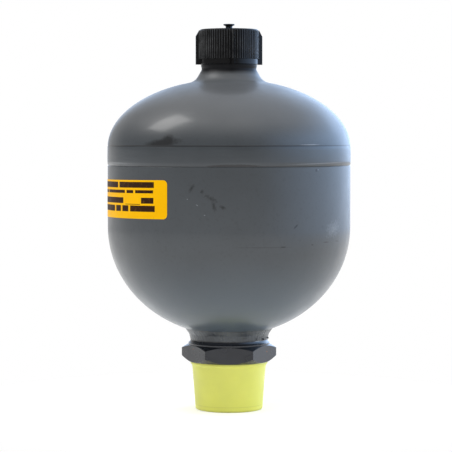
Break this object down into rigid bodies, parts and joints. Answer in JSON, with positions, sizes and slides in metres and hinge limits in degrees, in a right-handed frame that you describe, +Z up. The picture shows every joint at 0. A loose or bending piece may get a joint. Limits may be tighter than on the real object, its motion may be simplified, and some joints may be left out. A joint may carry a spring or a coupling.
{
  "type": "bladder accumulator",
  "caption": "Small welded hydraulic accumulator with a rubber diaphragm bladder inside, ribbed gas cap on top, hexagon port and tapered port cap below.",
  "frame": {"origin": "centre of the face it stands on, the floor of the port cap", "axes": "+Z up along the axis of the vessel, -Y towards the side that shows the end of the label"},
  "size_m": [0.1212, 0.1212, 0.1923],
  "materials": {
    "vessel_paint": "satin dark grey",
    "fitting_paint": "semi-gloss dark grey",
    "black_plastic": "moulded black",
    "yellow_plastic": "soft pale yellow",
    "label_film": "printed yellow film",
    "rubber": "matte black",
    "plain_steel": "turned steel"
  },
  "bodies": {
    "vessel": {"lower_shell": "vessel_paint", "upper_shell": "vessel_paint", "seam_weld": "vessel_paint", "port_fitting": "fitting_paint", "port_weld": "vessel_paint", "diaphragm": "rubber", "clamp_ring": "plain_steel", "charging_screw": "plain_steel", "charging_seal": "rubber", "label": "label_film"},
    "gas_cap": {"gas_cap": "black_plastic"},
    "port_cap": {"port_cap": "yellow_plastic"},
    "closing_button": {"closing_button": "plain_steel"}
  },
  "joints": [
    {"name": "gas_cap_lift", "type": "slide", "parent": "vessel", "child": "gas_cap", "axis": [0, 0, 1], "range_m": [0, 0.08]},
    {"name": "port_cap_pull", "type": "slide", "parent": "vessel", "child": "port_cap", "axis": [0, 0, -1], "range_m": [0, 0.08]},
    {"name": "closing_button_lift", "type": "slide", "parent": "vessel", "child": "closing_button", "axis": [0, 0, 1], "range_m": [0, 0.05], "deforming": ["diaphragm"]}
  ]
}
